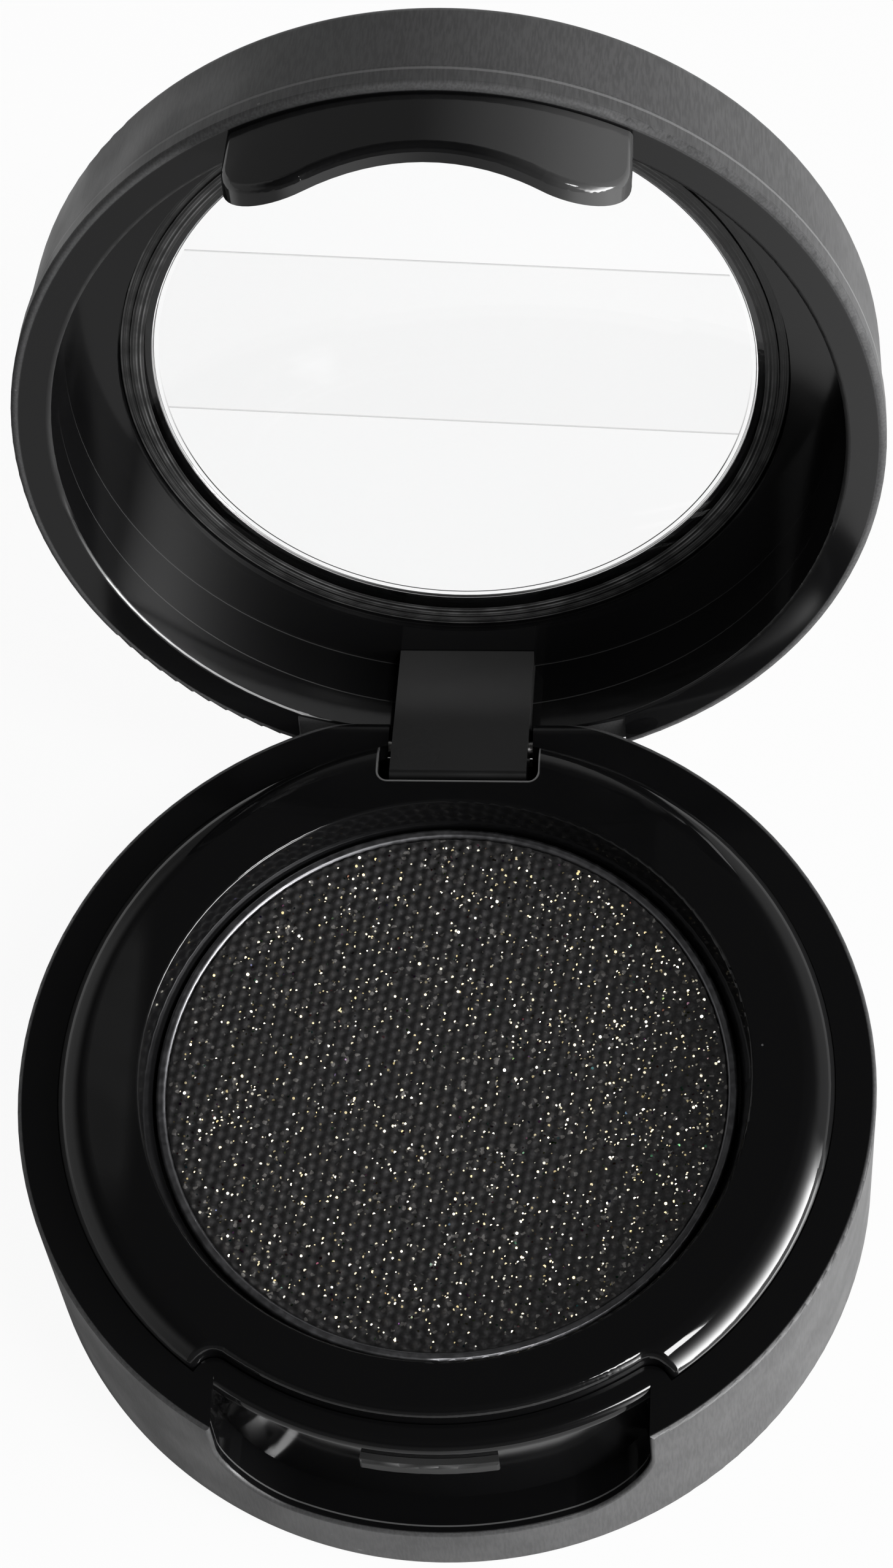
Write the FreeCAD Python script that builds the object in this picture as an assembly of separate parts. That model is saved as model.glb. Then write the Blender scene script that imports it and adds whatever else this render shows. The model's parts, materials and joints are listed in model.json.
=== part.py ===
import FreeCAD, Part
import math
import os

Vector = FreeCAD.Vector
os.makedirs("parts", exist_ok=True)

# A round eyeshadow compact: a cup with one pan of powder and a windowed lid, standing open on its base.
# Millimetres. The base stands on the XY plane, the hinge is behind (+Y) and the clasp is in front (-Y).

# Overall sizes
outer_radius = 19.1
base_height = 9.7
lid_height = 6.3
open_angle = 108.1

# Clearances
seam_gap = 0.1
fit_gap = 0.05
swing_gap = 0.2
stop_gap = 0.03
pin_play = 0.04
edge_break = 0.15

# Base shell
rim_width = 1.8
base_floor = 1.4
base_foot_round = 0.4
ledge_width = 0.6

# Clasp recess in the base's front, with its catch bar
recess_depth = 1.8
recess_half_width = 9.4
recess_height = 5.8
recess_corner = 3.3
recess_lip_round = 0.5
clasp_wall = 1.2
clasp_wall_angle = 73.0
clasp_wall_corner = 0.8
catch_half_width = 2.95
catch_reach = 0.45
catch_drop = 0.85
catch_height = 0.85

# Pan tray
tray_rise = 0.95
tray_flange = 1.0
tray_land = 0.12
tray_wall = 1.15
tray_floor = 1.0
shoulder_run = 0.5
shoulder_round = 1.6
front_round = 0.4
well_flare = 0.45
pan_gap = 0.13
pan_sink = 0.65

# Pan, powder and glue pad
pan_radius = 13.0
pan_height = 3.2
pan_wall = 0.45
pan_base = 0.4
pan_corner = 0.6
powder_sink = 0.05
powder_round = 0.15
glue_radius = 8.0
glue_thickness = 0.1

# Hinge: the axis is measured from the outer radius and from the base's rim
hinge_inset = 1.9
hinge_drop = 0.75
hinge_back = 1.2
pin_radius = 0.4
pin_half_length = 6.4
pin_cover = 0.5
lug_half_width = 3.15
lug_front = 0.95
lug_behind = 0.95
lug_drop = 2.7
lug_tip_round = 0.3
notch_ledge = 0.35
notch_corner = 0.45
block_top_drop = 0.2

# Lid shell: its rim stands a little proud of the base, and its wall leans in to the top
lid_overhang = 0.12
lid_lean = 0.15
lid_cavity = 5.0
lid_edge_round = 0.7
lid_rim_round = 0.25
skirt_height = 1.4
skirt_step = 0.08

# Clasp tab on the lid's front
tab_half_width = 8.4
tab_set_back = 0.45
tab_thickness = 0.85
tab_tip_radius = 2.5
tab_tip_drop = 5.0
tab_arch_drop = 3.7
tab_root_height = 1.0
tab_edge_round = 0.35

# Window, the seat it is glued into and the film on it
hole_radius = 13.6
hole_lip = 0.5
window_radius = 15.0
window_thickness = 0.45
window_edge_width = 0.45
window_edge_drop = 0.12
film_thickness = 0.08
film_margin = 0.3
film_width = 8.9
film_shift = -1.3
film_turn = 3.3

# Places that follow from the sizes
pocket_radius = outer_radius - rim_width
tray_radius = pocket_radius - fit_gap
ledge_height = base_height - tray_flange
recess_radius = outer_radius - recess_depth
recess_floor = base_height - recess_height
clasp_inner_radius = recess_radius - clasp_wall
tray_top = base_height + tray_rise
well_radius = pan_radius + pan_gap
pan_top = base_height - pan_sink
pan_bottom = pan_top - pan_height
well_floor = pan_bottom - glue_thickness
axis_y = outer_radius - hinge_inset
axis_z = base_height - hinge_drop
back_flat = axis_y + hinge_back
slot_half_width = lug_half_width + swing_gap
notch_half_width = slot_half_width + notch_ledge
lug_reach = math.hypot(lug_front, lug_drop)
sweep_radius = lug_reach + swing_gap
block_half_width = pin_half_length + pin_cover
block_front = axis_y - pin_radius - pin_cover
block_top = base_height - block_top_drop
lid_rim = base_height + seam_gap
lid_top = lid_rim + lid_height
lid_ceiling = lid_rim + lid_cavity
lid_radius = outer_radius + lid_overhang
lid_inner_radius = tray_radius + swing_gap
window_seat = lid_top - hole_lip
tab_outer_radius = lid_radius - tab_set_back
tab_inner_radius = tab_outer_radius - tab_thickness
relief_half_width = math.sqrt(lid_radius ** 2 - (axis_y + hinge_back - hinge_drop) ** 2)
far = 2 * outer_radius


def on_section(radius, height):
    return Vector(radius, 0, height)


def on_front(across, height):
    return Vector(across, 0, height)


def on_side(depth, height):
    return Vector(0, depth, height)


def rounded_face(corners, place):
    """Flat face through (u, v, radius) corners, each rounded by its own radius."""
    edges = []
    joins = []
    for index, (u, v, radius) in enumerate(corners):
        here = Vector(u, v, 0)
        before = Vector(*corners[index - 1][:2], 0) - here
        after = Vector(*corners[(index + 1) % len(corners)][:2], 0) - here
        before.normalize()
        after.normalize()
        half_turn = before.getAngle(after) / 2
        run = radius / math.tan(half_turn)
        inward = before + after
        start = here + before * run
        end = here + after * run
        if radius > 0:
            inward.normalize()
            middle = here + inward * (radius / math.sin(half_turn) - radius)
            ends = [place(point.x, point.y) for point in (start, middle, end)]
            edges.append(Part.Arc(*ends).toShape())
        joins.append((start, end))
    for index, (start, end) in enumerate(joins):
        previous_end = joins[index - 1][1]
        if previous_end.distanceToPoint(start) > Part.Precision.confusion():
            edges.append(Part.makeLine(place(previous_end.x, previous_end.y), place(start.x, start.y)))
    return Part.Face(Part.Wire(Part.__sortEdges__(edges)))


def revolved(corners, angle=360, start=0):
    """Turn a (radius, height, round) section about the Z axis."""
    solid = rounded_face(corners, on_section).revolve(Vector(0, 0, 0), Vector(0, 0, 1), angle)
    solid.rotate(Vector(0, 0, 0), Vector(0, 0, 1), start)
    return solid


def disc(radius, low, high):
    return Part.makeCylinder(radius, high - low, Vector(0, 0, low))


def front_sector(inner, outer, low, high, angle):
    """Piece of a ring, centred on the front."""
    section = [(inner, low, 0), (outer, low, 0), (outer, high, 0), (inner, high, 0)]
    return revolved(section, angle, -90 - angle / 2)


def bar_across(half_width, front, back, low, high):
    """Block across the hinge, centred on x = 0."""
    return Part.makeBox(2 * half_width, back - front, high - low, Vector(-half_width, front, low))


def rod_on_axis(radius, start, end):
    """Cylinder along the hinge axis."""
    return Part.makeCylinder(radius, end - start, Vector(start, axis_y, axis_z), Vector(1, 0, 0))


def upright_edges(solid, radius):
    """Vertical edges that stand at a radius from the Z axis."""
    found = []
    for edge in solid.Edges:
        low, high = edge.Vertexes[0].Point, edge.Vertexes[-1].Point
        is_upright = math.hypot(low.x - high.x, low.y - high.y) < edge_break and edge.Length > edge_break
        if is_upright and abs(math.hypot(low.x, low.y) - radius) < edge_break:
            found.append(edge)
    return found


def clasp_wall_block(grow):
    """The cup's thick front wall between the recess and the tray, grown all round by a clearance."""
    inner = clasp_inner_radius - grow
    angle = clasp_wall_angle + 2 * math.degrees(grow / clasp_inner_radius)
    block = front_sector(inner, outer_radius, base_floor, tray_top, angle)
    return block.makeFillet(clasp_wall_corner, upright_edges(block, inner))


def back_trim():
    """What is cut off behind the hinge: a flat back with a rounded top edge."""
    corners = [
        (axis_y, base_height + hinge_back, 0),
        (axis_y, base_height, 0),
        (back_flat, base_height, hinge_drop),
        (back_flat, -base_height, 0),
        (far, -base_height, 0),
        (far, base_height + hinge_back, 0),
    ]
    trim = rounded_face(corners, on_side).extrude(Vector(2 * far, 0, 0))
    trim.translate(Vector(-far, 0, 0))
    return trim


def recess_cut():
    """Room for the clasp tab: a round-cornered window in the front wall, down to a curved inner wall."""
    corners = [
        (-recess_half_width, base_height + recess_height, 0),
        (-recess_half_width, recess_floor, recess_corner),
        (recess_half_width, recess_floor, recess_corner),
        (recess_half_width, base_height + recess_height, 0),
    ]
    window = rounded_face(corners, on_front).extrude(Vector(0, -far, 0))
    wall = [
        (0, 0, 0),
        (recess_radius, 0, 0),
        (recess_radius, base_height, recess_lip_round),
        (0, base_height, 0),
    ]
    return window.cut(revolved(wall))


def is_on_cylinder(edge, radius):
    """Whether an edge lies at one radius from the Z axis at its ends and in its middle."""
    start, middle, end = edge.discretize(3)
    return all(abs(math.hypot(point.x, point.y) - radius) < fit_gap for point in (start, middle, end))


def make_cup():
    """The base's outside: foot, flat back and clasp recess, with its rim and the recess's outline eased."""
    section = [
        (0, 0, 0),
        (outer_radius, 0, base_foot_round),
        (outer_radius, base_height, 0),
        (0, base_height, 0),
    ]
    cup = revolved(section).cut(back_trim()).cut(recess_cut())
    sharp = []
    for edge in cup.Edges:
        middle = edge.CenterOfMass
        is_on_rim = middle.z > base_height - fit_gap
        is_on_recess = middle.y < -recess_half_width and middle.z > recess_floor - fit_gap
        if is_on_cylinder(edge, outer_radius) and (is_on_rim or is_on_recess):
            sharp.append(edge)
    return cup.makeFillet(edge_break, sharp)


def make_base_shell():
    pocket = [
        (0, base_floor, 0),
        (pocket_radius - ledge_width, base_floor, 0),
        (pocket_radius - ledge_width, ledge_height, 0),
        (pocket_radius, ledge_height, 0),
        (pocket_radius, tray_top, 0),
        (0, tray_top, 0),
    ]
    hinge_block = bar_across(block_half_width, block_front, outer_radius, base_floor, block_top)
    hollow = revolved(pocket).cut(clasp_wall_block(0)).cut(hinge_block)
    slot = bar_across(slot_half_width, 0, far, axis_z - sweep_radius, tray_top)
    shell = make_cup().cut(hollow).cut(slot)
    catch_top = base_height - catch_drop
    catch_bottom = catch_top - catch_height
    catch_root = recess_radius - clasp_wall / 2
    catch_angle = 2 * math.degrees(math.asin(catch_half_width / recess_radius))
    catch = front_sector(catch_root, recess_radius + catch_reach, catch_bottom, catch_top, catch_angle)
    catch_edges = [edge for edge in catch.Edges if edge.CenterOfMass.y < -recess_radius]
    shell = shell.fuse(catch.makeFillet(edge_break, catch_edges))
    return shell.cut(rod_on_axis(pin_radius, -pin_half_length, far)).removeSplitter()


def make_pan_tray():
    section = [
        (0, well_floor - tray_floor, 0),
        (well_radius + tray_wall, well_floor - tray_floor, pan_corner),
        (well_radius + tray_wall, ledge_height, 0),
        (tray_radius, ledge_height, 0),
        (tray_radius, base_height + tray_land, 0),
        (tray_radius - shoulder_run, tray_top, shoulder_round),
        (well_radius + well_flare, tray_top, edge_break),
        (well_radius, pan_top, 0),
        (well_radius, well_floor, 0),
        (0, well_floor, 0),
    ]
    tray = revolved(section).cut(clasp_wall_block(fit_gap))
    front_edges = []
    for edge in tray.Edges:
        middle = edge.CenterOfMass
        is_in_front = middle.y < edge_break - well_radius and middle.z > base_height + tray_land - fit_gap
        if is_in_front and edge.Length > edge_break / 2 and not is_on_cylinder(edge, well_radius + well_flare):
            front_edges.append(edge)
    tray = tray.makeFillet(front_round, front_edges)
    notch = rod_on_axis(sweep_radius, -notch_half_width, notch_half_width)
    notch = notch.makeFillet(notch_corner, [edge for edge in notch.Edges if edge.isClosed()])
    block_room = block_half_width + fit_gap
    under_block = bar_across(block_room, block_front - swing_gap, outer_radius, base_floor, block_top + fit_gap)
    return tray.cut(notch).cut(under_block)


def make_powder_pan():
    section = [
        (0, pan_bottom, 0),
        (pan_radius, pan_bottom, pan_corner),
        (pan_radius, pan_top, pan_wall / 3),
        (pan_radius - pan_wall, pan_top, pan_wall / 3),
        (pan_radius - pan_wall, pan_bottom + pan_base, 0),
        (0, pan_bottom + pan_base, 0),
    ]
    return revolved(section)


def make_powder_cake():
    radius = pan_radius - pan_wall
    bottom = pan_bottom + pan_base
    top = pan_top - powder_sink
    return revolved([(0, bottom, 0), (radius, bottom, 0), (radius, top, powder_round), (0, top, 0)])


def lid_rear_relief():
    """Cut under the lid's back edge, so that it lies along the base's flat back when it stands open."""
    lean = math.radians(open_angle - 90)
    reach = hinge_back + stop_gap
    relief = bar_across(relief_half_width, -far, far, -far, reach)
    relief.rotate(Vector(0, 0, 0), Vector(1, 0, 0), math.degrees(lean))
    relief.translate(Vector(0, axis_y, axis_z))
    return relief.common(bar_across(relief_half_width, 0, far, axis_z, lid_top))


def tab_outline():
    """The clasp tab from the front: two round tips with an arch between them."""
    tip_x = tab_half_width - tab_tip_radius
    tip_z = lid_rim - tab_tip_drop + tab_tip_radius
    arch_z = lid_rim - tab_arch_drop
    rise = arch_z - tip_z
    arch_radius = (tip_x ** 2 + rise ** 2 - tab_tip_radius ** 2) / (2 * (tab_tip_radius + rise))
    arch_centre = arch_z - arch_radius
    share = tab_tip_radius / (tab_tip_radius + arch_radius)
    meet_x = tip_x * (1 - share)
    meet_z = tip_z + (arch_centre - tip_z) * share
    root = lid_rim + tab_root_height
    turn = (math.pi / 2 + math.atan2(tip_x, tip_z - arch_centre)) / 2
    across = tab_tip_radius * math.cos(turn)
    below = tip_z - tab_tip_radius * math.sin(turn)
    edges = [Part.makeLine(on_front(-tab_half_width, root), on_front(tab_half_width, root))]
    for side in (-1, 1):
        corner = on_front(side * tab_half_width, tip_z)
        meet = on_front(side * meet_x, meet_z)
        edges.append(Part.makeLine(on_front(side * tab_half_width, root), corner))
        edges.append(Part.Arc(corner, on_front(side * (tip_x + across), below), meet).toShape())
    arch = Part.Arc(on_front(-meet_x, meet_z), on_front(0, arch_z), on_front(meet_x, meet_z))
    edges.append(arch.toShape())
    return Part.Face(Part.Wire(Part.__sortEdges__(edges)))


def make_clasp_tab():
    band = disc(tab_outer_radius, lid_rim - tab_tip_drop, lid_ceiling)
    band = band.cut(disc(tab_inner_radius, lid_rim - tab_tip_drop, lid_ceiling))
    tab = tab_outline().extrude(Vector(0, -far, 0)).common(band)
    is_lower = [edge for edge in tab.Edges if edge.CenterOfMass.z < lid_rim]
    outer_edges = [
        edge for edge in is_lower
        if all(abs(math.hypot(v.X, v.Y) - tab_outer_radius) < edge_break for v in edge.Vertexes)
    ]
    return tab.makeFillet(tab_edge_round, outer_edges)


def make_lug():
    tip = axis_z - lug_drop
    corners = [
        (axis_y - lug_front, lid_ceiling, 0),
        (axis_y - lug_front, tip, lug_tip_round),
        (axis_y, tip, lug_tip_round),
        (axis_y + lug_behind, axis_z - lug_behind, lug_behind),
        (axis_y + lug_behind, lid_ceiling, 0),
    ]
    lug = rounded_face(corners, on_side).extrude(Vector(2 * lug_half_width, 0, 0))
    lug.translate(Vector(-lug_half_width, 0, 0))
    return lug


def make_lid_shell():
    wall_radius = lid_radius - skirt_step
    skirt_top = lid_rim + skirt_height
    seat_radius = window_radius + fit_gap
    section = [
        (lid_inner_radius, lid_rim, edge_break),
        (lid_inner_radius, lid_ceiling, 0),
        (seat_radius, lid_ceiling, 0),
        (seat_radius, window_seat, 0),
        (hole_radius, window_seat, 0),
        (hole_radius, lid_top, edge_break),
        (wall_radius - lid_lean, lid_top, lid_edge_round),
        (wall_radius, skirt_top, 0),
        (lid_radius, skirt_top - skirt_step, 0),
        (lid_radius, lid_rim, lid_rim_round),
    ]
    shell = revolved(section).cut(lid_rear_relief())
    shell = shell.fuse(make_clasp_tab()).fuse(make_lug())
    return shell.cut(rod_on_axis(pin_radius + pin_play, -far, far)).removeSplitter()


def make_lid_window():
    inner_face = window_seat - window_thickness
    step_radius = window_radius - window_edge_width
    section = [
        (0, inner_face, 0),
        (step_radius, inner_face, window_edge_drop / 2),
        (step_radius, inner_face + window_edge_drop, 0),
        (window_radius, inner_face + window_edge_drop, window_edge_drop / 2),
        (window_radius, window_seat, 0),
        (0, window_seat, 0),
    ]
    return revolved(section)


def make_window_label():
    top = window_seat + film_thickness
    strip = bar_across(far, film_shift - film_width / 2, film_shift + film_width / 2, window_seat, top)
    strip.rotate(Vector(0, film_shift, 0), Vector(0, 0, 1), film_turn)
    return strip.common(disc(hole_radius - film_margin, window_seat, top))


def opened(shape):
    """Swing a piece of the closed lid up and back to where it stands open."""
    turned = shape.copy()
    turned.rotate(Vector(0, axis_y, axis_z), Vector(1, 0, 0), -open_angle)
    return turned


def save(name, shape):
    shape.exportStep(os.path.join("parts", name + ".step"))


save("base_shell", make_base_shell())
save("pan_tray", make_pan_tray())
save("powder_pan", make_powder_pan())
save("powder_cake", make_powder_cake())
save("pan_adhesive", disc(glue_radius, well_floor, pan_bottom))
save("hinge_pin", rod_on_axis(pin_radius, -pin_half_length, pin_half_length))
save("lid_shell", opened(make_lid_shell()))
save("lid_window", opened(make_lid_window()))
save("window_label", opened(make_window_label()))
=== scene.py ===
import json
import math
import random

import bmesh
import bpy
from mathutils import Matrix, Vector


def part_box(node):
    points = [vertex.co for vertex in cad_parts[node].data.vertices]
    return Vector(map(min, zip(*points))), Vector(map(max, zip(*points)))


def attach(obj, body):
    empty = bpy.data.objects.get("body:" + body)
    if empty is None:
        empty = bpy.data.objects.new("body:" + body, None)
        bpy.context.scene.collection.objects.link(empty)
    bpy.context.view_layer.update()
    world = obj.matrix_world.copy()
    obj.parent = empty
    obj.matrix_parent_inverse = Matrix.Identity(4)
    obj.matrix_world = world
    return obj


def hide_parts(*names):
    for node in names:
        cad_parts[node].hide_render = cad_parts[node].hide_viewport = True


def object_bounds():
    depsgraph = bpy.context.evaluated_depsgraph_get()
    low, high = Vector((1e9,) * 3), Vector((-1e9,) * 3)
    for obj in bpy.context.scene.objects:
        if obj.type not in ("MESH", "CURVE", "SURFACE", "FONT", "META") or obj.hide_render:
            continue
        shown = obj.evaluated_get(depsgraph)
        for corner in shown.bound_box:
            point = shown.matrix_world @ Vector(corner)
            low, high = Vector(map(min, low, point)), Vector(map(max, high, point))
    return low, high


bl_info = {
    "name": "Eyeshadow Compact",
    "version": (1, 0, 0),
    "blender": (4, 5, 0),
    "location": "View3D > Sidebar > Compact",
    "description": "Finishes, pressed powder, glitter and stage for a round eyeshadow compact",
    "category": "Object",
}

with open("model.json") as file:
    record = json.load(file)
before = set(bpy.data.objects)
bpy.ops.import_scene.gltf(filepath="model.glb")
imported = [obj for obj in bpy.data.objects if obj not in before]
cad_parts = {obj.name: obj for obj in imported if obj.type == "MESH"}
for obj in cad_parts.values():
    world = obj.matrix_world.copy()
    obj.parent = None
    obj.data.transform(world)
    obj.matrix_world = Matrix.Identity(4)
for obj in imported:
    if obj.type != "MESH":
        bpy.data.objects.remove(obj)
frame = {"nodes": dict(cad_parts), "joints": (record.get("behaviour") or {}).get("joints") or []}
cad_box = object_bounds()
nodes = frame["nodes"]

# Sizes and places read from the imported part, in metres
MM = 0.001
SHELL_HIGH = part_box("base_shell")[1]
CAKE_LOW, CAKE_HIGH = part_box("powder_cake")
OUTER_RADIUS = SHELL_HIGH.x
RIM_HEIGHT = SHELL_HIGH.z
CAKE_RADIUS = CAKE_HIGH.x
WINDOW_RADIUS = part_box("lid_window")[1].x
FILM_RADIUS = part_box("window_label")[1].x
LID_SWING_GAP = 0.2 * MM
LID_INNER_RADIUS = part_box("pan_tray")[1].x + LID_SWING_GAP
HINGE = frame["joints"][0]
HINGE_PLACE = Vector(HINGE["pos_m"])
OPEN_ANGLE = math.radians(HINGE["range_deg"][1])
CLOSING_TURN = Matrix.Rotation(OPEN_ANGLE, 3, "X")


# Small helpers for colours and node trees

def grey(level):
    return (level, level, level)


def shaded(colour, share):
    """Colour made darker or lighter by a share of itself."""
    return tuple(min(1.0, share * part) for part in colour)


def add_node(tree, kind, **settings):
    node = tree.nodes.new(kind)
    for name, value in settings.items():
        setattr(node, name, value)
    return node


def feed(tree, socket, source):
    """Link a socket to another one, or set its value."""
    if isinstance(source, bpy.types.NodeSocket):
        tree.links.new(source, socket)
    else:
        socket.default_value = source


def calc(tree, operation, *values, clamp=False):
    node = add_node(tree, "ShaderNodeMath", operation=operation, use_clamp=clamp)
    for socket, value in zip(node.inputs, values):
        feed(tree, socket, value)
    return node.outputs[0]


def product(tree, first, *others):
    for other in others:
        first = calc(tree, "MULTIPLY", first, other)
    return first


def largest(tree, first, *others):
    for other in others:
        first = calc(tree, "MAXIMUM", first, other)
    return first


def above(tree, value, limit):
    """1 where a value is over a limit."""
    return calc(tree, "GREATER_THAN", value, limit)


def below(tree, value, limit):
    """1 where a value is under a limit."""
    return calc(tree, "LESS_THAN", value, limit)


def between(tree, value, low, high):
    """1 where a value lies between two limits."""
    return product(tree, above(tree, value, low), below(tree, value, high))


def near(tree, value, middle, reach):
    """1 where a value lies within reach of a middle."""
    return calc(tree, "COMPARE", value, middle, reach)


def hypotenuse(tree, first, second):
    square = calc(tree, "ADD", product(tree, first, first), product(tree, second, second))
    return calc(tree, "SQRT", square)


def blend_range(tree, value, low, high, to_low=0.0, to_high=1.0):
    """Smooth step of a value from one range to another."""
    node = add_node(tree, "ShaderNodeMapRange", interpolation_type="SMOOTHSTEP")
    for socket, source in zip(node.inputs, (value, low, high, to_low, to_high)):
        feed(tree, socket, source)
    return node.outputs[0]


def mix_colour(tree, factor, first, second):
    """Blend two colours, each a socket or three plain parts."""
    node = add_node(tree, "ShaderNodeMix", data_type="RGBA")
    feed(tree, node.inputs[0], factor)
    for socket, source in zip(node.inputs[6:8], (first, second)):
        is_socket = isinstance(source, bpy.types.NodeSocket)
        feed(tree, socket, source if is_socket else (*source, 1))
    return node.outputs[2]


def mix_value(tree, factor, first, second):
    node = add_node(tree, "ShaderNodeMix", data_type="FLOAT")
    for index, source in ((0, factor), (2, first), (3, second)):
        feed(tree, node.inputs[index], source)
    return node.outputs[0]


def texture(tree, kind, place, size):
    """Noise or Voronoi texture whose features are about one size across."""
    node = add_node(tree, kind)
    feed(tree, node.inputs["Vector"], place)
    is_socket = isinstance(size, bpy.types.NodeSocket)
    feed(tree, node.inputs["Scale"], calc(tree, "DIVIDE", 1.0, size) if is_socket else 1 / size)
    return node


def noise(tree, place, size, detail=2.0):
    node = texture(tree, "ShaderNodeTexNoise", place, size)
    node.inputs["Detail"].default_value = detail
    return node.outputs[0]


def cells(tree, place, size):
    """Distance to the nearest of scattered points, and two numbers drawn for that point."""
    node = texture(tree, "ShaderNodeTexVoronoi", place, size)
    drawn = add_node(tree, "ShaderNodeSeparateColor")
    feed(tree, drawn.inputs[0], node.outputs["Color"])
    return node.outputs["Distance"], drawn.outputs[0], drawn.outputs[1]


def use_group(tree, group, **sources):
    """Place a node group and feed its inputs by name, with spaces written as low lines."""
    node = add_node(tree, "ShaderNodeGroup", node_tree=group)
    for name, source in sources.items():
        feed(tree, node.inputs[name.replace("_", " ").capitalize()], source)
    return node.outputs


def new_material(name, **constants):
    """Principled material; constants are set on the shader's own sockets."""
    material = bpy.data.materials.new(name)
    material.use_nodes = True
    shader = material.node_tree.nodes["Principled BSDF"]
    for socket, value in constants.items():
        shader.inputs[socket.replace("_", " ")].default_value = value
    return material, material.node_tree, shader.inputs


def object_place(tree):
    return add_node(tree, "ShaderNodeTexCoord").outputs["Object"]


def closed_lid_place(tree):
    """Object coordinates of a lid piece, turned back to where it lies when the lid is closed."""
    mapping = add_node(tree, "ShaderNodeMapping")
    feed(tree, mapping.inputs["Vector"], object_place(tree))
    mapping.inputs["Rotation"].default_value = (OPEN_ANGLE, 0, 0)
    mapping.inputs["Location"].default_value = HINGE_PLACE - CLOSING_TURN @ HINGE_PLACE
    return mapping.outputs[0]


def closed_heights(name):
    """Lowest and highest point of a lid piece, as it lies when the lid is closed."""
    points = [vert.co - HINGE_PLACE for vert in nodes[name].data.vertices]
    heights = [(CLOSING_TURN @ point + HINGE_PLACE).z for point in points]
    return min(heights), max(heights)


def split_place(tree, place):
    parts = add_node(tree, "ShaderNodeSeparateXYZ")
    feed(tree, parts.inputs[0], place)
    return parts.outputs


def radius_and_height(tree, place):
    """Distance from the compact's middle axis, and height above the table."""
    across, along, height = split_place(tree, place)
    return hypotenuse(tree, across, along), height


def across_and_along(tree, place):
    """Place along the hinge, to the right, and from the clasp to the hinge."""
    across, along, _ = split_place(tree, place)
    return across, along


def bump(tree, height, depth, strength=1.0):
    node = add_node(tree, "ShaderNodeBump")
    node.inputs["Strength"].default_value = strength
    node.inputs["Distance"].default_value = depth
    feed(tree, node.inputs["Height"], height)
    return node.outputs[0]


# Effects that several materials share

def new_group(name, inputs, outputs):
    group = bpy.data.node_groups.new(name, "ShaderNodeTree")
    for label, kind in inputs:
        group.interface.new_socket(label, in_out="INPUT", socket_type=kind)
    for label, kind in outputs:
        group.interface.new_socket(label, in_out="OUTPUT", socket_type=kind)
    start = add_node(group, "NodeGroupInput")
    end = add_node(group, "NodeGroupOutput")
    return group, start.outputs, end.inputs


def moulded_grain_group():
    """Fine grain of a moulded wall, drawn out along the mould's draft, and its patchy polish."""
    draft_stretch = (1, 1, 0.12)
    grains_in_patch = 40.0
    group, given, result = new_group(
        "Moulded grain",
        [("Place", "NodeSocketVector"), ("Grain size", "NodeSocketFloat")],
        [("Height", "NodeSocketFloat"), ("Polish", "NodeSocketFloat")],
    )
    drawn = add_node(group, "ShaderNodeVectorMath", operation="MULTIPLY")
    feed(group, drawn.inputs[0], given["Place"])
    drawn.inputs[1].default_value = draft_stretch
    patch_size = product(group, given["Grain size"], grains_in_patch)
    feed(group, result["Height"], noise(group, drawn.outputs[0], given["Grain size"], detail=3.0))
    feed(group, result["Polish"], noise(group, given["Place"], patch_size))
    return group


def dust_group():
    """Mask of scattered dust specks; density is the share of cells that hold one."""
    small_speck = 0.03
    large_speck = 0.1
    group, given, result = new_group(
        "Settled dust",
        [("Place", "NodeSocketVector"), ("Spacing", "NodeSocketFloat"), ("Density", "NodeSocketFloat")],
        [("Mask", "NodeSocketFloat")],
    )
    distance, lot, size = cells(group, given["Place"], given["Spacing"])
    speck_radius = blend_range(group, size, 0.0, 1.0, small_speck, large_speck)
    chosen = below(group, lot, given["Density"])
    feed(group, result["Mask"], product(group, chosen, below(group, distance, speck_radius)))
    return group


def shared_group(name, make):
    return bpy.data.node_groups.get(name) or make()


# Black plastic of the base, the tray and the lid

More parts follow.
